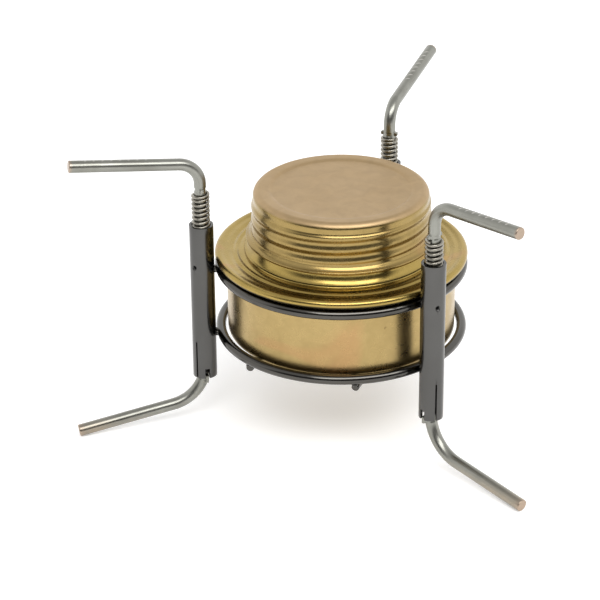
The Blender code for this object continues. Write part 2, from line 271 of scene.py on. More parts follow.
class Nodes:
    """Short ways to add shader nodes to one material."""

    def __init__(self, name):
        self.material = bpy.data.materials.new(name)
        self.material.use_nodes = True
        self.tree = self.material.node_tree
        self.shader = self.tree.nodes["Principled BSDF"]

    def add(self, kind, **settings):
        node = self.tree.nodes.new(kind)
        for key, value in settings.items():
            setattr(node, key, value)
        return node

    def put(self, value, socket):
        """Links value to the socket if it is an output, or else sets it."""
        if isinstance(value, bpy.types.NodeSocket):
            self.tree.links.new(value, socket)
        else:
            socket.default_value = value

    def place(self, scale=(1, 1, 1)):
        """Object coordinates, which are the row frame's own metres, scaled per axis."""
        coordinates = self.add("ShaderNodeTexCoord").outputs["Object"]
        mapping = self.add("ShaderNodeMapping")
        mapping.inputs["Scale"].default_value = scale
        self.put(coordinates, mapping.inputs["Vector"])
        return mapping.outputs["Vector"]

    def turned_place(self, around, up, out):
        """Coordinates along the lathe's turn, each times its own density, and the place about the axis."""
        axis_place = self.add("ShaderNodeVectorMath", operation="SUBTRACT")
        self.put(self.add("ShaderNodeTexCoord").outputs["Object"], axis_place.inputs[0])
        axis_place.inputs[1].default_value = AXIS
        split = self.add("ShaderNodeSeparateXYZ")
        self.put(axis_place.outputs[0], split.inputs[0])
        flat = self.add("ShaderNodeVectorMath", operation="MULTIPLY")
        self.put(axis_place.outputs[0], flat.inputs[0])
        flat.inputs[1].default_value = (1, 1, 0)
        radius = self.add("ShaderNodeVectorMath", operation="LENGTH")
        self.put(flat.outputs[0], radius.inputs[0])
        direction = self.add("ShaderNodeVectorMath", operation="NORMALIZE")
        self.put(flat.outputs[0], direction.inputs[0])
        spread = self.add("ShaderNodeVectorMath", operation="SCALE")
        self.put(direction.outputs[0], spread.inputs[0])
        spread.inputs["Scale"].default_value = around
        height = self.math("MULTIPLY", split.outputs["Z"], up)
        reach = self.math("MULTIPLY", radius.outputs["Value"], out)
        lift = self.math("ADD", height, reach)
        stack = self.add("ShaderNodeCombineXYZ")
        self.put(lift, stack.inputs["Z"])
        total = self.add("ShaderNodeVectorMath", operation="ADD")
        self.put(spread.outputs[0], total.inputs[0])
        self.put(stack.outputs[0], total.inputs[1])
        return total.outputs[0], split.outputs

    def math(self, operation, a, b=0.0, clamp=False):
        node = self.add("ShaderNodeMath", operation=operation, use_clamp=clamp)
        self.put(a, node.inputs[0])
        self.put(b, node.inputs[1])
        return node.outputs[0]

    def noise(self, vector, scale, detail=2.0, rough=0.5, warp=0.0):
        node = self.add("ShaderNodeTexNoise")
        self.put(vector, node.inputs["Vector"])
        node.inputs["Scale"].default_value = scale
        node.inputs["Detail"].default_value = detail
        node.inputs["Roughness"].default_value = rough
        node.inputs["Distortion"].default_value = warp
        return node.outputs["Fac"]

    def spread(self, value, low, high, to_low=0.0, to_high=1.0, smooth=False):
        node = self.add("ShaderNodeMapRange", interpolation_type="SMOOTHSTEP" if smooth else "LINEAR")
        self.put(value, node.inputs["Value"])
        node.inputs["From Min"].default_value = low
        node.inputs["From Max"].default_value = high
        node.inputs["To Min"].default_value = to_low
        node.inputs["To Max"].default_value = to_high
        return node.outputs["Result"]

    def mix(self, share, first, second):
        node = self.add("ShaderNodeMix", data_type="RGBA")
        self.put(share, node.inputs[0])
        for value, index in ((first, 6), (second, 7)):
            colour = value if isinstance(value, bpy.types.NodeSocket) else (*value, 1.0)
            self.put(colour, node.inputs[index])
        return node.outputs[2]

    def bump(self, height, strength, distance, under=None):
        node = self.add("ShaderNodeBump")
        node.inputs["Strength"].default_value = strength
        node.inputs["Distance"].default_value = distance
        self.put(height, node.inputs["Height"])
        if under is not None:
            self.put(under, node.inputs["Normal"])
        return node.outputs["Normal"]

    def finish(self, colour, roughness, metallic=1.0, normal=None):
        self.put(colour, self.shader.inputs["Base Color"])
        self.put(roughness, self.shader.inputs["Roughness"])
        self.shader.inputs["Metallic"].default_value = metallic
        if normal is not None:
            self.put(normal, self.shader.inputs["Normal"])
        return self.material


def plated_metal(name, light, dark, rough_low, rough_high, grain):
    """Nickel plate with faint clouds, fine grain and a few dull handling marks.
    The dents are painted near-black as shade.
    """
    n = Nodes(name)
    where = n.place()
    cloud = n.noise(where, 60, 2, 0.45)
    marks = n.spread(n.noise(where, 300, 3, 0.5, 0.4), 0.6, 0.74, smooth=True)
    colour = n.mix(n.spread(cloud, 0.35, 0.65), dark, light)
    worn = n.math("MULTIPLY", marks, 0.12)
    colour = n.mix(worn, colour, [c * 1.3 for c in light])
    roughness = n.spread(cloud, 0.3, 0.7, rough_low, rough_high)
    roughness = n.math("ADD", roughness, n.math("MULTIPLY", marks, 0.03))
    # Painted shade: the dents are darkened to near-black and made rougher
    dent_shade = n.add("ShaderNodeAttribute", attribute_name="dent").outputs["Fac"]
    colour = n.mix(dent_shade, colour, DENT_SHADE)
    roughness = n.math("ADD", roughness, n.math("MULTIPLY", dent_shade, 0.4))
    fine = n.noise(where, 2600, 2, 0.5)
    normal = n.bump(fine, grain, 0.00001)
    return n.finish(colour, roughness, normal=normal)


def rod_metal(name):
    """Warm nickel on drawn rod: streaks along its length, bare metal and a painted glint in the nicks,
    brown on the sawn ends.
    """
    n = Nodes(name)
    route = n.add("ShaderNodeAttribute", attribute_name="route").outputs["Vector"]
    streak_place = n.add("ShaderNodeMapping")
    streak_place.inputs["Scale"].default_value = (60, 1800, 1800)
    n.put(route, streak_place.inputs["Vector"])
    streak = n.noise(streak_place.outputs["Vector"], 1.0, 3, 0.6)
    where = n.place()
    cloud = n.noise(where, 130, 3, 0.5)
    height = n.add("ShaderNodeSeparateXYZ")
    n.put(where, height.inputs[0])
    low = n.spread(height.outputs["Z"], 6 * MM, 1.5 * MM, 0.0, 0.5, smooth=True)
    colour = n.mix(n.spread(cloud, 0.35, 0.65), ROD_DARK, ROD_LIGHT)
    colour = n.mix(n.math("MULTIPLY", n.spread(streak, 0.35, 0.7), 0.3), colour, [c * 0.7 for c in ROD_DARK])
    colour = n.mix(n.math("MULTIPLY", low, n.spread(cloud, 0.2, 0.6)), colour, ROD_BROWN)
    # Bare metal in the nicks, partly a painted glint
    bared_glint = n.add("ShaderNodeAttribute", attribute_name="bared_glint").outputs["Fac"]
    colour = n.mix(bared_glint, colour, ROD_BARE_GLINT)
    sawn = n.add("ShaderNodeAttribute", attribute_name="sawn").outputs["Fac"]
    colour = n.mix(n.math("MULTIPLY", sawn, 0.75), colour, ROD_SAWN)
    above = n.spread(height.outputs["Z"], TUBE_BOTTOM + 0.2 * MM, TUBE_BOTTOM + 1.4 * MM)
    below = n.spread(height.outputs["Z"], TUBE_TOP - 1 * MM, TUBE_TOP - 3 * MM)
    colour = n.mix(n.math("MULTIPLY", above, below), colour, ROD_SHADE)
    roughness = n.spread(streak, 0.3, 0.7, 0.26, 0.36)
    normal = n.bump(streak, 0.1, 0.00002)
    return n.finish(colour, roughness, normal=normal)


def spring_metal(name):
    n = Nodes(name)
    where = n.place()
    cloud = n.noise(where, 260, 3, 0.6)
    light, dark = SPRING_WIRE
    colour = n.mix(n.spread(cloud, 0.35, 0.65), dark, light)
    roughness = n.spread(cloud, 0.3, 0.7, 0.24, 0.34)
    return n.finish(colour, roughness, normal=n.bump(n.noise(where, 3000, 2), 0.1, 0.00001))


def brass_metal(name, light, dark, rough, matt_above=None, shade_below=None, stain=0.4):
    """Lacquered brass: cloudy colour, lathe marks round the axis, small brown spots and warm stains.

    Over the height matt_above the surface is matt, as on the blasted top of the cap. Under the height given
    for the rim it is painted dark, as shade under the rolled rim.
    """
    n = Nodes(name)
    where = n.place()
    along, axes = n.turned_place(6.0, 2600.0, 2600.0)
    lathe_marks = n.noise(along, 1.0, 3, 0.6)
    cloud = n.noise(where, 75, 4, 0.55, 0.3)
    blotch = n.noise(where, 230, 4, 0.6, 0.6)
    colour = n.mix(n.spread(cloud, 0.32, 0.68), dark, light)
    shade = n.math("MULTIPLY", n.spread(blotch, 0.5, 0.75), 0.3)
    colour = n.mix(shade, colour, [c * 0.75 for c in dark])
    warm = n.math("MULTIPLY", n.spread(n.noise(where, 38, 3, 0.5, 0.8), 0.56, 0.72, smooth=True), stain)
    colour = n.mix(warm, colour, WARM_STAIN)
    spots = n.spread(n.noise(where, 620, 2, 0.4), 0.74, 0.8, smooth=True)
    colour = n.mix(n.math("MULTIPLY", spots, 0.45), colour, BROWN_SPOT)
    roughness = n.spread(blotch, 0.3, 0.75, rough * 0.9, rough * 1.25)
    if matt_above is not None:
        share = n.spread(axes["Z"], matt_above - 0.5 * MM, matt_above, smooth=True)
        wanted = n.spread(cloud, 0.3, 0.7, 0.42, 0.5)
        step = n.math("MULTIPLY", n.math("SUBTRACT", wanted, roughness), share)
        roughness = n.math("ADD", roughness, step)
        bloom = n.mix(n.spread(blotch, 0.35, 0.7), MATT_BRASS, [c * 0.88 for c in MATT_BRASS])
        colour = n.mix(n.math("MULTIPLY", share, 0.9), colour, bloom)
    if shade_below is not None:
        # Painted shade: the underside of the rim is darkened
        under_shade = n.spread(axes["Z"], shade_below, shade_below - 0.4 * MM, 0.0, 0.9, smooth=True)
        colour = n.mix(under_shade, colour, RIM_UNDER_SHADE)
    normal = n.bump(lathe_marks, 0.04, 0.00002)
    normal = n.bump(n.noise(where, 900, 2, 0.5), 0.03, 0.00003, normal)
    return n.finish(colour, roughness, normal=normal)


def cotton_material(name):
    n = Nodes(name)
    where = n.place()
    fibres = n.noise(n.place((900, 900, 250)), 1.0, 5, 0.7, 1.2)
    colour = n.mix(n.spread(fibres, 0.3, 0.7), (0.5, 0.44, 0.34), (0.8, 0.76, 0.66))
    n.shader.inputs["Sheen Weight"].default_value = 0.3
    normal = n.bump(fibres, 0.9, 0.0004, n.bump(n.noise(where, 200, 3), 0.5, 0.0006))
    return n.finish(colour, 0.95, 0.0, normal)


def rubber_material(name):
    n = Nodes(name)
    where = n.place()
    dust = n.noise(where, 500, 4, 0.6)
    colour = n.mix(n.spread(dust, 0.4, 0.75), (0.022, 0.02, 0.018), (0.07, 0.066, 0.06))
    roughness = n.spread(dust, 0.3, 0.7, 0.55, 0.8)
    return n.finish(colour, roughness, 0.0, n.bump(n.noise(where, 2500, 3), 0.3, 0.00005))


def floor_material(name):
    """White paper that is lit from behind a little, so that shadows on it stay faint."""
    n = Nodes(name)
    cloud = n.noise(n.place(), 3, 2, 0.5)
    colour = n.mix(n.spread(cloud, 0.3, 0.7), (0.9, 0.9, 0.9), (0.93, 0.93, 0.93))
    n.shader.inputs["Emission Color"].default_value = (1, 1, 1, 1)
    n.shader.inputs["Emission Strength"].default_value = 0.25
    return n.finish(colour, 0.9, 0.0)


# ---------------------------------------------------------------- stand

def make_ring(name, material):
    """Wire ring, with the slight out-of-round of bent wire."""
    height = middle(name).z
    shape = bmesh.new()
    steps, sides = 240, 20
    rings = []
    for i in range(steps):
        angle = 2 * math.pi * i / steps
        outwards = Vector((math.cos(angle), math.sin(angle), 0))
        stray = 0.06 * MM * noise.noise(outwards * 1.7 + Vector((0, 0, height * 100)))
        ring = []
        for k in range(sides):
            turn = 2 * math.pi * k / sides
            reach = RING_R + stray + RING_WIRE_R * math.cos(turn)
            place = AXIS + outwards * reach
            place.z = height + RING_WIRE_R * math.sin(turn)
            ring.append(shape.verts.new(place))
        rings.append(ring)
    skin(shape, rings, wrap_rows=True)
    return add_piece(f"fine_{name}", shape, "stand", name, material)


def capped_rows(length, radius, edge, steps=4):
    """(distance, radius) rows of a straight round bar with rounded ends."""
    rows = [(0.0, 0.6 * radius)]
    for i in range(steps + 1):
        a = math.pi / 2 * i / steps
        rows.append((edge * (1 - math.cos(a)), radius - edge + edge * math.sin(a)))
    return rows + [(length - s, r) for s, r in reversed(rows)]


def make_cross_wire(name, material):
    """Straight wire under the lower ring, flattened a little where it is welded to it."""
    centre = middle(name)
    ring_span = math.sqrt(RING_R ** 2 - (centre.x - AXIS.x) ** 2)
    rows = capped_rows(2 * CROSS_WIRE_HALF, CROSS_WIRE_R, 0.18 * MM)
    plain_start, plain_end = rows[5], rows[-6]
    rows[6:-6] = []
    inner = [(s, plain_start[1]) for s, _ in line((plain_start[0], 0), (plain_end[0], 0), 150)][:-1]
    rows[6:6] = inner
    shape = bmesh.new()
    rings = []
    for s, radius in rows:
        y = centre.y - CROSS_WIRE_HALF + s
        near = min(abs(y - AXIS.y - ring_span), abs(y - AXIS.y + ring_span))
        squeeze = 0.12 * MM * math.exp(-((near / (1.4 * MM)) ** 2))
        ring = []
        for k in range(20):
            turn = 2 * math.pi * k / 20
            x = centre.x + (radius + 0.4 * squeeze) * math.cos(turn) * min(1.0, radius / CROSS_WIRE_R)
            z = centre.z + (radius - squeeze) * math.sin(turn)
            ring.append(shape.verts.new((x, y, z)))
        rings.append(ring)
    skin(shape, rings)
    shape.faces.new(rings[0])
    shape.faces.new(rings[-1])
    return add_piece(f"fine_{name}", shape, "stand", name, material)


def weld_shape(shape, centre, along, across, up, half, seed):
    """A pillow of weld metal with a slightly lumpy face. along, across and up are its own unit axes."""
    rings = []
    rows, columns = 14, 24
    for i in range(1, rows):
        rise = math.pi * i / rows - math.pi / 2
        ring = []
        for k in range(columns):
            turn = 2 * math.pi * k / columns
            unit = Vector((math.cos(rise) * math.cos(turn), math.cos(rise) * math.sin(turn), math.sin(rise)))
            puffed = Vector([math.copysign(abs(c) ** 0.8, c) for c in unit])
            lump = 1 + 0.14 * noise.noise(unit * 1.8 + Vector((seed, 0, 0)))
            place = centre + lump * (
                along * puffed.x * half[0] + across * puffed.y * half[1] + up * puffed.z * half[2]
            )
            ring.append(shape.verts.new(place))
        rings.append(ring)
    skin(shape, rings)
    shape.faces.new(rings[0])
    shape.faces.new(rings[-1])


def make_welds(material):
    """Weld metal that joins rings to tubes and cross wires to the lower ring."""
    up = Vector((0, 0, 1))
    for name in ("upper_ring", "lower_ring"):
        shape = bmesh.new()
        height = middle(name).z
        for number, side in enumerate(SIDES):
            out = OUTWARDS[side]
            around = up.cross(out)
            centre = AXIS + out * (RING_R + RING_WIRE_R + 0.1 * MM) + up * height
            weld_shape(shape, centre, around, out, up, (1.5 * MM, 0.75 * MM, 1.05 * MM), number + height * 50)
        add_piece(f"welds_{name}", shape, "stand", None, material)
    shape = bmesh.new()
    for name in ("cross_wire_left", "cross_wire_right"):
        centre = middle(name)
        span = math.sqrt(RING_R ** 2 - (centre.x - AXIS.x) ** 2)
        for end in (-1, 1):
            place = Vector((centre.x, AXIS.y + end * span, centre.z + CROSS_WIRE_R + 0.1 * MM))
            half = (0.85 * MM, 1.0 * MM, 0.5 * MM)
            weld_shape(shape, place, Vector((1, 0, 0)), Vector((0, 1, 0)), up, half, end + centre.x * 99)
    add_piece("welds_cross_wires", shape, "stand", None, material)


def tube_angles(side):
    """Directions of the tube's columns, measured from its outward one: fine near the dents, exact at cuts."""
    slit = SLIT_TURN[side]
    cuts = [(slit, SLIT_HALF), (math.pi / 2, NOTCH_HALF), (-math.pi / 2, NOTCH_HALF)]
    edges = []
    for centre, half in cuts:
        step = math.asin(half / TUBE_R)
        edges += [centre - step, centre + step]
    edges += [slit - 0.35, slit + 0.35, slit + math.pi - 0.35, slit + math.pi + 0.35]
    edges = sorted(e % (2 * math.pi) for e in edges)
    angles = []
    for first, second in zip(edges, edges[1:] + [edges[0] + 2 * math.pi]):
        mid = (first + second) / 2
        near_dent = min(abs(math.remainder(mid - slit, math.pi)), 9) < 0.36
        count = max(1, math.ceil((second - first) / (0.03 if near_dent else 0.075)))
        angles += [first + (second - first) * i / count for i in range(count)]
    return angles


def make_tube(side, material):
    """Split tube: outer skin with slit, notches and dents, given its wall by a solidify modifier."""
    angles = tube_angles(side)
    heights = [TUBE_BOTTOM, NOTCH_TOP / 2 + TUBE_BOTTOM / 2, NOTCH_TOP, SLIT_TOP]
    fine_low, fine_high = DENT_Z - 0.9 * MM, DENT_Z + 0.9 * MM
    heights += [SLIT_TOP + (fine_low - SLIT_TOP) * i / 8 for i in range(1, 8)]
    heights += [fine_low + (fine_high - fine_low) * i / 16 for i in range(17)]
    heights += [fine_high + (TUBE_TOP - fine_high) * i / 5 for i in range(1, 6)]
    base = ROD_PLANE[side]
    shape = bmesh.new()
    dent = shape.verts.layers.float.new("dent")
    rows = []
    for z in heights:
        row = []
        for angle in angles:
            sideways = abs(math.remainder(angle - SLIT_TURN[side], math.pi)) * TUBE_R
            away = math.hypot(sideways, z - DENT_Z) / DENT_R
            radius = TUBE_R - DENT_DEPTH * smoothstep(1.25 - away)
            turn = base + angle
            outwards = Vector((math.cos(turn), math.sin(turn), 0))
            vert = shape.verts.new(TUBE_AXIS[side] + outwards * radius + Vector((0, 0, z)))
            # Share of the painted shade in the dent
            vert[dent] = smoothstep(1.5 - 1.3 * away)
            row.append(vert)
        rows.append(row)
    cuts = [(SLIT_TURN[side], SLIT_HALF, SLIT_TOP)]
    cuts += [(turn, NOTCH_HALF, NOTCH_TOP) for turn in (math.pi / 2, -math.pi / 2)]
    for low, high, z in zip(rows, rows[1:], heights):
        for i in range(len(angles)):
            j = (i + 1) % len(angles)
            step = (angles[j] - angles[i]) % (2 * math.pi)
            mid = angles[i] + step / 2
            open_here = False
            for centre, half, top in cuts:
                inside = abs(math.remainder(mid - centre, 2 * math.pi)) < math.asin(half / TUBE_R)
                open_here = open_here or (inside and z < top - 0.01 * MM)
            if not open_here:
                shape.faces.new((low[i], low[j], high[j], high[i]))
    loose = [v for v in shape.verts if not v.link_faces]
    bmesh.ops.delete(shape, geom=loose, context="VERTS")
    tube = add_piece(f"fine_tube_{side}", shape, "stand", f"tube_{side}", material)
    wall = tube.modifiers.new("wall", "SOLIDIFY")
    wall.thickness = TUBE_WALL
    wall.offset = -1
    wall.use_even_offset = True
    edge = tube.modifiers.new("edge", "BEVEL")
    edge.width = 0.14 * MM
    edge.segments = 3
    edge.limit_method = "ANGLE"
    edge.angle_limit = math.radians(60)
    return tube


# ---------------------------------------------------------------- rods and springs

def nick_places(side):
    """Distances of the nicks from the tube's axis, along X of the rod's plane."""
    first = ROD_BENDS[side][1] - NICK_LAST
    return [first - NICK_PITCH * i for i in range(NICKS)]


def rod_stations(side):
    """(centre, tangent) along the rod in its own plane, X outwards, from arm tip to leg tip."""
    arm_z, arm_reach, rise, leg_reach, fall = ROD_BENDS[side]
    foot_z = ROD_R * math.cos(fall) - 0.02 * MM
    leg_z = foot_z + leg_reach * math.tan(fall)
    arm_out = Vector((math.cos(rise), 0, math.sin(rise)))
    leg_out = Vector((math.cos(fall), 0, -math.sin(fall)))
    arm_tip = Vector((arm_reach, 0, arm_z + arm_reach * math.tan(rise)))
    leg_tip = Vector((leg_reach, 0, foot_z))
    up = ARM_BEND_R * math.tan((math.pi / 2 - rise) / 2)
    down = LEG_BEND_R * math.tan((math.pi / 2 - fall) / 2)
    top, bottom = arm_z - up, leg_z + down

    arm_length = (arm_tip - Vector((0, 0, arm_z))).length - up
    near_tip = [ROD_EDGE * (1 - math.cos(math.pi / 8 * i)) for i in range(5)]
    nicks = nick_places(side)
    nick_from = (arm_reach - nicks[0]) / math.cos(rise) - 1.6 * MM
    nick_to = min((arm_reach - nicks[-1]) / math.cos(rise) + 1.6 * MM, arm_length - 0.3 * MM)
    steps = list(near_tip)
    steps += [ROD_EDGE + (nick_from - ROD_EDGE) * i / 4 for i in range(1, 4)]
    count = round((nick_to - nick_from) / (0.13 * MM))
    steps += [nick_from + (nick_to - nick_from) * i / count for i in range(count + 1)]
    steps += [nick_to + (arm_length - nick_to) * i / 4 for i in range(1, 4)]
    points = [(arm_tip - arm_out * s, -arm_out) for s in steps]

    for i in range(BEND_TURNS + 1):
        a = math.pi / 2 + rise + (math.pi / 2 - rise) * i / BEND_TURNS
        ray = Vector((math.cos(a), 0, math.sin(a)))
        points.append((Vector((ARM_BEND_R, 0, top)) + ray * ARM_BEND_R, Vector((-ray.z, 0, ray.x))))

    heights = []
    for ear_z, half in ((EAR_Z[side], EAR_HALF_HEIGHT["upper"]), (LOWER_EAR_Z, EAR_HALF_HEIGHT["lower"])):
        reach = half + 0.45 * MM
        heights += [ear_z + reach - 2 * reach * i / 18 for i in range(19)]
    heights += [EAR_Z[side] - 2 * MM - (EAR_Z[side] - LOWER_EAR_Z - 4 * MM) * i / 14 for i in range(15)]
    for z in sorted((z for z in heights if bottom + 0.1 * MM < z < top - 0.1 * MM), reverse=True):
        points.append((Vector((0, 0, z)), Vector((0, 0, -1))))

    bend = [(math.pi / 2 - fall) * i / BEND_TURNS for i in range(BEND_TURNS + 1)]
    bend += [math.asin((bottom - z) / LEG_BEND_R) for z in heights if bottom - LEG_BEND_R / 2 < z < bottom]
    for a in sorted(bend):
        ray = Vector((-math.cos(a), 0, -math.sin(a)))
        points.append((Vector((LEG_BEND_R, 0, bottom)) + ray * LEG_BEND_R, Vector((-ray.z, 0, ray.x))))
    leg_length = (leg_tip - Vector((0, 0, leg_z))).length - down
    tail = [leg_length * (1 - i / 12) for i in range(1, 12)] + list(reversed(near_tip))
    points += [(leg_tip - leg_out * s, leg_out) for s in tail]
    return points


def ear_reach(side, turn, z):
    """How far the rod reaches in a direction, with its pinched ears. turn is measured from the ear's side."""
    reach = ROD_R
    flat = abs(math.sin(turn))
    upper = (EAR_Z[side], UPPER_EAR_HALF, EAR_HALF_HEIGHT["upper"])
    lower = (LOWER_EAR_Z, LOWER_EAR_HALF, EAR_HALF_HEIGHT["lower"])
    for ear_z, half, half_height in (upper, lower):
        share = smoothstep((half_height + 0.12 * MM - abs(z - ear_z)) / (0.3 * MM))
        if share <= 0:
            continue
        fin = min(half, EAR_HALF_THICK / max(flat, 1e-6))
        wing = max(fin - ROD_R, 0.0)
        pinch = 0.16 * MM * smoothstep((flat - 0.45) / 0.5)
        reach += share * (wing - pinch)
    return reach


def nick_depth(side, u, sideways):
    """How deep a nick cuts into the arm's top at u from the tube's axis, or zero between nicks."""
    along = u - sideways * math.tan(NICK_SKEW[side])
    away = min(abs(along - place) for place in nick_places(side)) / NICK_HALF
    return NICK_DEPTH[side] * max(1 - away ** 1.5, 0.0)


def make_rod(side, material):
    """Bent rod with rounded ends, pinched ears and pressed nicks."""
    sides = 64
    across = Vector((0, 1, 0))
    place_at = Matrix.Translation(TUBE_AXIS[side]) @ Matrix.Rotation(ROD_PLANE[side], 4, "Z")
    stations = rod_stations(side)
    arm_z = ROD_BENDS[side][0]
    shape = bmesh.new()
    route = shape.verts.layers.float_vector.new("route")
    bared_glint = shape.verts.layers.float.new("bared_glint")
    sawn = shape.verts.layers.float.new("sawn")
    rings = []
    travelled = 0.0
    before = stations[0][0]
    ends = (stations[0][0], stations[-1][0])
    for centre, tangent in stations:
        travelled += (centre - before).length
        before = centre
        from_end = min((centre - ends[0]).length, (centre - ends[1]).length)
        shrink = 0.0
        if from_end < ROD_EDGE:
            shrink = ROD_EDGE - math.sqrt(max(ROD_EDGE ** 2 - (ROD_EDGE - from_end) ** 2, 0.0))
        upwards = across.cross(tangent)
        on_arm = centre.z > arm_z and tangent.x < -0.9
        on_upright = tangent.z < -0.9
        ring = []
        for k in range(sides):
            t = 2 * math.pi * k / sides
            turn = t - 0.3 * math.sin(2 * t)
            radius = ROD_R - shrink
            fin = 0.0
            if on_upright:
                radius = ear_reach(side, turn, centre.z) - shrink
                fin = smoothstep((radius - ROD_R) / (0.5 * MM))
            q = radius * math.cos(turn)
            p = radius * math.sin(turn) + centre.x * fin
            cut = 0.0
            if on_arm:
                depth = nick_depth(side, centre.x, q)
                cut = max(p - ROD_R + depth, 0.0) if depth > 0 else 0.0
            vert = shape.verts.new(place_at @ (centre + upwards * (p - cut) + across * q))
            vert[route] = (travelled, ROD_R * math.cos(turn), ROD_R * math.sin(turn))
            # Share of bare metal and painted glint where a nick cuts the top
            vert[bared_glint] = min(cut / (0.2 * MM), 1.0)
            vert[sawn] = smoothstep(1.2 - from_end / (0.5 * MM))
            ring.append(vert)
        rings.append(ring)
    skin(shape, rings)
    for ring in (rings[0], rings[-1]):
        face = shape.faces.new(ring)
        bmesh.ops.inset_region(shape, faces=[face], thickness=0.15 * MM, depth=0.0)
    return add_piece(f"fine_leg_{side}", shape, f"rod_{side}", f"leg_{side}", material, sharp=50)


def make_spring(side, material):
    """Coil spring with closed end turns."""
    wire, radius = 0.42 * MM, 2.32 * MM
    pitch, closed_pitch, closed_turns = 1.42 * MM, 0.93 * MM, 1.25
    bottom, top = (corner[2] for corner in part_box(f"spring_{side}"))
    low, high = bottom + wire, top - wire
    open_turns = (high - low - 2 * closed_turns * closed_pitch) / pitch
    turns = open_turns + 2 * closed_turns
    base = ROD_PLANE[side]
    count = round(turns * 30)
    sides = 10
    shape = bmesh.new()
    rings = []
    for i in range(count + 1):
        turn = turns * i / count
        closed = min(turn, closed_turns) + max(turn - closed_turns - open_turns, 0)
        z = low + closed * closed_pitch + (turn - closed) * pitch
        angle = base + 2 * math.pi * turn
        out = Vector((math.cos(angle), math.sin(angle), 0))
        centre = TUBE_AXIS[side] + out * radius + Vector((0, 0, z))
        ring = []
        for k in range(sides):
            a = 2 * math.pi * k / sides
            ring.append(shape.verts.new(centre + wire * (out * math.cos(a) + Vector((0, 0, math.sin(a))))))
        rings.append(ring)
    skin(shape, rings)
    shape.faces.new(rings[0])
    shape.faces.new(rings[-1])
    name = f"spring_{side}"
    spring = add_piece(f"fine_{name}", shape, f"press_{side}", name, material, sharp=60)
    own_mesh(spring)
    return spring


# ---------------------------------------------------------------- burner

def make_body(material):
    """Pressed cup: flat base with a shallow stamped ring, tight corner and thin wall."""
    fillet = 1.6 * MM
    inner = BODY_R - SHEET
    rows = [(2 * MM, BASE_Z)]
    rows += line((2 * MM, BASE_Z), (21 * MM, BASE_Z), 5)
    rows += [(21.6 * MM, BASE_Z + 0.18 * MM), (22.6 * MM, BASE_Z + 0.18 * MM), (23.2 * MM, BASE_Z)]
    rows += arc((BODY_R - fillet, BASE_Z + fillet), fillet, -90, 0, 10)
    rows += line((BODY_R, BASE_Z + fillet), (BODY_R, BODY_TOP), 40)
    rows += [(inner, BODY_TOP)]
    rows += line((inner, BODY_TOP), (inner, BASE_Z + SHEET + fillet), 8)
    rows += arc((inner - fillet, BASE_Z + SHEET + fillet), fillet, 0, -90, 6)[1:]
    rows += [(23.2 * MM, BASE_Z + SHEET), (22.1 * MM, BASE_Z + SHEET + 0.1 * MM), (21 * MM, BASE_Z + SHEET)]
    rows += [(2 * MM, BASE_Z + SHEET)]
    shape = lathe(rows, wobble=0.05 * MM, seed=3.0, closed=False)
    return add_piece("fine_burner_body", shape, "burner", "burner_body", material)


def make_top(material):
    """Rolled rim, dished shoulder with a ridge, coved and threaded neck, and the mouth with its gas holes."""
    rim_r, rim_z = RIM_EDGE - RIM_BEAD, RIM_LOW + RIM_BEAD
    shoulder = rim_z + RIM_BEAD
    thread_mid, mouth, bore = 25.7 * MM, MOUTH_R, 24.8 * MM
    rows = arc((rim_r, rim_z), RIM_BEAD, -90, 78, 14)
    rows += [(rim_r - 0.5 * MM, shoulder - 0.06 * MM), (rim_r - 1.1 * MM, shoulder - 0.26 * MM)]
    rows += [(rim_r - 1.6 * MM, shoulder - 0.34 * MM), (rim_r - 2.3 * MM, shoulder - 0.34 * MM)]
    outer, inner = rim_r - 2.3 * MM, 28.75 * MM
    for i in range(1, 37):
        r = outer + (inner - outer) * i / 36
        dish = SHOULDER_DISH * math.sin(math.pi * i / 36) ** 2
        ridge = RIDGE_RISE * smoothstep(1 - abs(r - RIDGE_AT) / RIDGE_HALF)
        rows += [(r, shoulder - 0.34 * MM - dish + ridge)]
    rows += [(28.7 * MM, shoulder - 0.2 * MM)]
    rows += arc((28.25 * MM, shoulder + 0.1 * MM), 0.42 * MM, -20, 70, 7)
    rows += arc((COVE_R + NECK_R, COVE_TOP), COVE_R, 236, 182, 14)
    rows += [(26.3 * MM, 58.8 * MM), (25.95 * MM, 59.3 * MM)]
    rows += thread_rows(60 * MM, 70.6 * MM, thread_mid, high_shift=-THREAD_AMP)
    rows += arc((bore - 0.1 * MM, NECK_TOP - 0.5 * MM), 0.5 * MM, 10, 90, 5)
    rows += line((bore - 0.1 * MM, NECK_TOP), (mouth + 0.35 * MM, NECK_TOP), 6)
    rows += arc((mouth + 0.35 * MM, NECK_TOP - 0.35 * MM), 0.35 * MM, 90, 180, 4)[1:]
    rows += line((mouth, NECK_TOP - 0.35 * MM), (mouth, 60 * MM), 5)
    rows += [(mouth + SHEET, 60 * MM)]
    rows += line((mouth + SHEET, 60 * MM), (mouth + SHEET, NECK_TOP - SHEET), 4)
    rows += [(24.2 * MM, NECK_TOP - SHEET), (bore, 70 * MM), (bore, 59.4 * MM)]
    rows += [(25.6 * MM, COVE_TOP), (NECK_R, shoulder - SHEET)]
    rows += [(34.6 * MM, shoulder - 0.85 * MM), (34.6 * MM, RIM_LOW)]
    shape = lathe(rows, steps=288, wobble=0.03 * MM, seed=9.0)
    top = add_piece("fine_burner_top", shape, "burner", "burner_top", material)
    jets = bmesh.new()
    for i in range(JETS):
        angle = 2 * math.pi * (i + 0.5) / JETS
        place = Matrix.Translation(AXIS) @ Matrix.Rotation(angle, 4, "Z")
        place = place @ Matrix.Translation((JET_CIRCLE_R, 0, NECK_TOP - SHEET / 2))
        bmesh.ops.create_cone(
            jets,
            cap_ends=True,
            segments=20,
            radius1=JET_R,
            radius2=JET_R + 0.12 * MM,
            depth=1.4 * MM,
            matrix=place,
        )
    cut_with(top, jets)
    return top


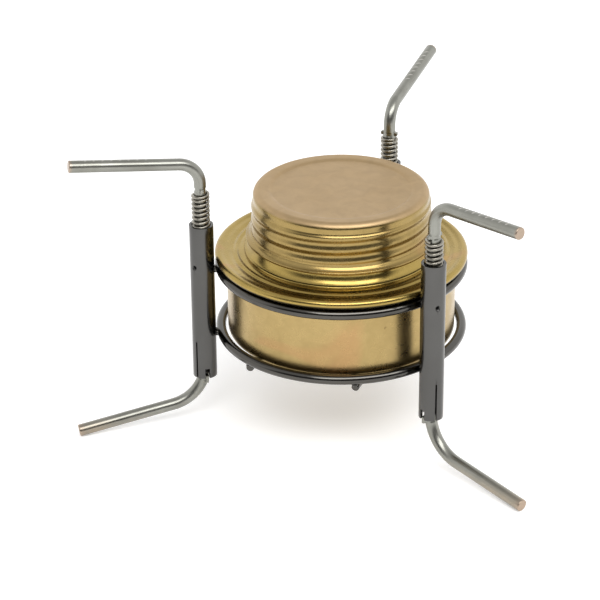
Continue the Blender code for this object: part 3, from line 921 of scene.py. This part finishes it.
def cut_with(piece, shape):
    """Cuts the bmesh out of the piece and leaves no modifier or cutter behind."""
    mesh = bpy.data.meshes.new("cutter")
    shape.to_mesh(mesh)
    shape.free()
    cutter = bpy.data.objects.new("cutter", mesh)
    bpy.context.scene.collection.objects.link(cutter)
    modifier = piece.modifiers.new("holes", "BOOLEAN")
    modifier.operation = "DIFFERENCE"
    modifier.solver = "EXACT"
    modifier.object = cutter
    graph = bpy.context.evaluated_depsgraph_get()
    cut = bpy.data.meshes.new_from_object(piece.evaluated_get(graph))
    piece.modifiers.clear()
    old = piece.data
    piece.data = cut
    bpy.data.objects.remove(cutter)
    bpy.data.meshes.remove(mesh)
    bpy.data.meshes.remove(old)


def make_sleeve(material):
    low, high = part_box("inner_sleeve")
    outer = size("inner_sleeve").x / 2
    inner = outer - SHEET
    rows = line((outer, low[2]), (outer, high[2] - 0.6 * MM), 12)
    rows += arc((outer - 0.25 * MM, high[2] - 0.25 * MM), 0.25 * MM, 0, 180, 6)
    rows += line((inner, high[2] - 0.6 * MM), (inner, low[2] + 0.25 * MM), 12)
    rows += arc((inner + 0.25 * MM, low[2] + 0.25 * MM), 0.25 * MM, 180, 350, 6)
    shape = lathe(rows, steps=192, wobble=0.03 * MM, seed=21.0)
    return add_piece("fine_inner_sleeve", shape, "burner", "inner_sleeve", material)


def make_wick(material):
    """Felted cotton packed between the walls: rounded edges and a lumpy skin."""
    low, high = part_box("wick")
    outer = size("wick").x / 2
    inner = 21.2 * MM
    soft = 1.6 * MM
    rows = arc((outer - soft, low[2] + soft), soft, -90, 0, 5)
    rows += line((outer, low[2] + soft), (outer, high[2] - soft), 14)
    rows += arc((outer - soft, high[2] - soft), soft, 0, 90, 6)
    rows += line((outer - soft, high[2]), (inner + soft, high[2]), 8)
    rows += arc((inner + soft, high[2] - soft), soft, 90, 180, 6)
    rows += line((inner, high[2] - soft), (inner, low[2] + soft), 14)
    rows += arc((inner + soft, low[2] + soft), soft, 180, 265, 5)
    shape = lathe(rows, steps=192)
    for vert in shape.verts:
        away = Vector((vert.co.x - AXIS.x, vert.co.y - AXIS.y, 0))
        centre = AXIS + away.normalized() * (outer + inner) / 2 + Vector((0, 0, (low[2] + high[2]) / 2))
        lump = 0.35 * MM * (noise.noise(vert.co * 260) - 0.9) + 0.15 * MM * noise.noise(vert.co * 900)
        vert.co += (vert.co - centre).normalized() * lump
    return add_piece("fine_wick", shape, "burner", "wick", material, sharp=180)


def make_seal(material):
    low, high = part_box("cap_seal")
    outer = size("cap_seal").x / 2
    inner = 20.5 * MM
    edge = 0.25 * MM
    rows = arc((outer - edge, low[2] + edge), edge, -90, 0, 4)
    rows += arc((outer - edge, high[2] - edge), edge, 0, 90, 4)
    rows += arc((inner + edge, high[2] - edge), edge, 90, 180, 4)
    rows += arc((inner + edge, low[2] + edge), edge, 180, 270, 4)
    rows += [(23.4 * MM, low[2]), (23.1 * MM, low[2] + 0.08 * MM), (22.4 * MM, low[2] + 0.08 * MM)]
    rows += [(22.1 * MM, low[2])]
    ordered = rows[:-4] + list(reversed(rows[-4:]))
    return add_piece("fine_cap_seal", lathe(ordered, steps=192), "seal", "cap_seal", material)


def make_cap(material):
    """Screw cap: sunk panel, broad rounded edge, knuckle thread and a curled lip."""
    panel, roof = CAP_TOP - 0.5 * MM, CAP_TOP - 1.1 * MM
    panel_r, bead_r, bead_at = 20.9 * MM, 2.1 * MM, 23.9 * MM
    lip = CAP_LIP_R
    mid = 26.35 * MM
    rows = [(1.5 * MM, panel)]
    rows += line((1.5 * MM, panel), (panel_r - 0.7 * MM, panel), 10)
    rows += [(panel_r - 0.45 * MM, panel + 0.02 * MM), (panel_r - 0.2 * MM, panel + 0.1 * MM)]
    rows += [(panel_r + 0.1 * MM, panel + 0.25 * MM), (panel_r + 0.4 * MM, panel + 0.37 * MM)]
    rows += [(panel_r + 0.9 * MM, panel + 0.45 * MM), (panel_r + 1.6 * MM, CAP_TOP - 0.01 * MM)]
    rows += arc((bead_at, CAP_TOP - bead_r), bead_r, 96, 4, 22)
    rows += [(26.0 * MM, 71.4 * MM), (25.98 * MM, 71.2 * MM)]
    rows += list(reversed(thread_rows(61 * MM, 71 * MM, mid, THREAD_AMP, -0.35 * MM, rows_per_pitch=28)))
    rows += [(26.85 * MM, 60.8 * MM), (27.05 * MM, 60.45 * MM), (27.4 * MM, 60.1 * MM)]
    rows += [(27.75 * MM, 59.92 * MM)]
    rows += arc((lip - 0.35 * MM, 59.5 * MM), 0.35 * MM, 75, -10, 6)
    rows += arc((lip - 0.33 * MM, CAP_LIP + 0.26 * MM), 0.26 * MM, 0, -150, 6)
    rows += [(26.9 * MM, 59.6 * MM), (26.5 * MM, 60.3 * MM)]
    rows += thread_rows(61 * MM, 71 * MM, mid - SHEET, THREAD_AMP, 0.0)
    rows += [(25.4 * MM, 71.5 * MM), (25.4 * MM, roof - 1.2 * MM), (24.6 * MM, roof - 0.2 * MM)]
    rows += [(24.0 * MM, roof)]
    rows += line((24.0 * MM, roof), (1.5 * MM, roof), 8)
    shape = lathe(rows, steps=320, wobble=0.03 * MM, wobble_size=11 * MM, seed=31.0, closed=False)
    return add_piece("fine_screw_cap", shape, "cap", "screw_cap", material)


# ---------------------------------------------------------------- studio

CAMERA_AZIMUTH = math.radians(22)
CAMERA_ELEVATION = math.radians(26.87)
CAMERA_ROLL = math.radians(-0.47)
CAMERA_DISTANCE = 720 * MM
CAMERA_LENS = 144.0
TARGET_RIGHT = -12.34 * MM
TARGET_UP = 37.15 * MM
WALL_LIGHT = 1.3
CEILING_LIGHT = 0.75
ROOM_LIGHT = 0.1
CAMERA_RIGHT = Vector((math.cos(CAMERA_AZIMUTH), math.sin(CAMERA_AZIMUTH), 0))
FRONT = Vector((math.sin(CAMERA_AZIMUTH), -math.cos(CAMERA_AZIMUTH), 0))


def direction(right_of_camera, elevation):
    """Unit vector from the object, by degrees to the camera's right and degrees up."""
    a, e = math.radians(right_of_camera), math.radians(elevation)
    flat = FRONT * math.cos(a) + CAMERA_RIGHT * math.sin(a)
    return flat * math.cos(e) + Vector((0, 0, math.sin(e)))


def make_camera():
    back = direction(0, math.degrees(CAMERA_ELEVATION))
    up = back.cross(CAMERA_RIGHT)
    right = CAMERA_RIGHT * math.cos(CAMERA_ROLL) + up * math.sin(CAMERA_ROLL)
    up = back.cross(right)
    target = AXIS + CAMERA_RIGHT * TARGET_RIGHT + Vector((0, 0, TARGET_UP))
    data = bpy.data.cameras.new("camera")
    data.lens = CAMERA_LENS
    data.sensor_width = 36.0
    data.clip_start = 0.01
    camera = bpy.data.objects.new("camera", data)
    camera.matrix_world = Matrix.Translation(target + back * CAMERA_DISTANCE) @ Matrix(
        (right, up, back)
    ).transposed().to_4x4()
    bpy.context.scene.collection.objects.link(camera)
    bpy.context.scene.camera = camera


def make_softbox(name, right_of_camera, elevation, distance, width, height, radiance):
    """Rectangular light that faces the object. radiance is how bright it looks."""
    towards = direction(right_of_camera, elevation)
    data = bpy.data.lights.new(name, "AREA")
    data.shape = "RECTANGLE"
    data.size = width
    data.size_y = height
    data.energy = radiance * math.pi * width * height
    light = bpy.data.objects.new(name, data)
    light.location = AXIS + Vector((0, 0, 0.04)) + towards * distance
    light.rotation_euler = towards.to_track_quat("Z", "Y").to_euler()
    bpy.context.scene.collection.objects.link(light)


def make_world():
    """Pale walls all round, a dimmer ceiling, and the unlit room behind the camera."""
    world = bpy.data.worlds.new("studio")
    bpy.context.scene.world = world
    world.use_nodes = True
    tree = world.node_tree
    back = tree.nodes["Background"]
    towards = tree.nodes.new("ShaderNodeTexCoord").outputs["Generated"]
    split = tree.nodes.new("ShaderNodeSeparateXYZ")
    tree.links.new(towards, split.inputs[0])
    facing = tree.nodes.new("ShaderNodeVectorMath")
    facing.operation = "DOT_PRODUCT"
    tree.links.new(towards, facing.inputs[0])
    facing.inputs[1].default_value = FRONT

    def spread(value, low, high):
        node = tree.nodes.new("ShaderNodeMapRange")
        node.interpolation_type = "SMOOTHSTEP"
        tree.links.new(value, node.inputs["Value"])
        node.inputs["From Min"].default_value = low
        node.inputs["From Max"].default_value = high
        return node.outputs["Result"]

    def combine(operation, a, b):
        node = tree.nodes.new("ShaderNodeMath")
        node.operation = operation
        node.use_clamp = True
        tree.links.new(a, node.inputs[0])
        tree.links.new(b, node.inputs[1])
        return node.outputs[0]

    def mix(share, first, second):
        node = tree.nodes.new("ShaderNodeMix")
        node.data_type = "RGBA"
        tree.links.new(share, node.inputs[0])
        for value, index in ((first, 6), (second, 7)):
            if isinstance(value, bpy.types.NodeSocket):
                tree.links.new(value, node.inputs[index])
            else:
                node.inputs[index].default_value = (value, value, value, 1.0)
        return node.outputs[2]

    ahead = spread(facing.outputs["Value"], 0.15, 0.6)
    low = spread(split.outputs["Z"], 0.72, 0.5)
    ceiling = spread(split.outputs["Z"], 0.5, 0.85)
    seen = tree.nodes.new("ShaderNodeLightPath").outputs["Is Camera Ray"]
    room = combine("SUBTRACT", combine("MULTIPLY", ahead, low), seen)
    walls = mix(combine("SUBTRACT", ceiling, seen), WALL_LIGHT, CEILING_LIGHT)
    tree.links.new(mix(room, walls, ROOM_LIGHT), back.inputs["Color"])
    back.inputs["Strength"].default_value = 1.0


def make_floor():
    shape = bmesh.new()
    bmesh.ops.create_grid(shape, x_segments=8, y_segments=8, size=3.0)
    mesh = bpy.data.meshes.new("floor")
    shape.to_mesh(mesh)
    shape.free()
    floor = bpy.data.objects.new("floor", mesh)
    mesh.materials.append(floor_material("floor_paper"))
    bpy.context.scene.collection.objects.link(floor)


def build():
    black = plated_metal("black_nickel_plate", *BLACK_PLATE, rough_low=0.12, rough_high=0.17, grain=0.04)
    grey = plated_metal("grey_nickel_plate", *GREY_PLATE, rough_low=0.22, rough_high=0.26, grain=0.05)
    rods = rod_metal("rod_nickel")
    springs = spring_metal("spring_wire")
    body = brass_metal("brass_satin", *BODY_BRASS, rough=0.27)
    # The top brass gets painted shade under its rim
    top = brass_metal("brass_bright", *TOP_BRASS, rough=0.25, shade_below=RIM_LOW + 1.2 * MM, stain=0.8)
    cap = brass_metal("brass_cap", *CAP_BRASS, rough=0.25, matt_above=CAP_TOP - 0.9 * MM, stain=0.3)
    for name in ("upper_ring", "lower_ring"):
        make_ring(name, black)
    for name in ("cross_wire_left", "cross_wire_right"):
        make_cross_wire(name, black)
    make_welds(black)
    for side in SIDES:
        make_tube(side, grey)
        make_rod(side, rods)
        make_spring(side, springs)
    make_body(body)
    make_top(top)
    make_sleeve(top)
    make_wick(cotton_material("cotton_packing"))
    make_seal(rubber_material("rubber_ring"))
    make_cap(cap)


make_camera()
make_world()
make_softbox("key_light", right_of_camera=17, elevation=53, distance=1.1, width=1.3, height=0.5, radiance=5.0)
make_floor()
build()
bpy.context.scene.view_settings.view_transform = "Standard"
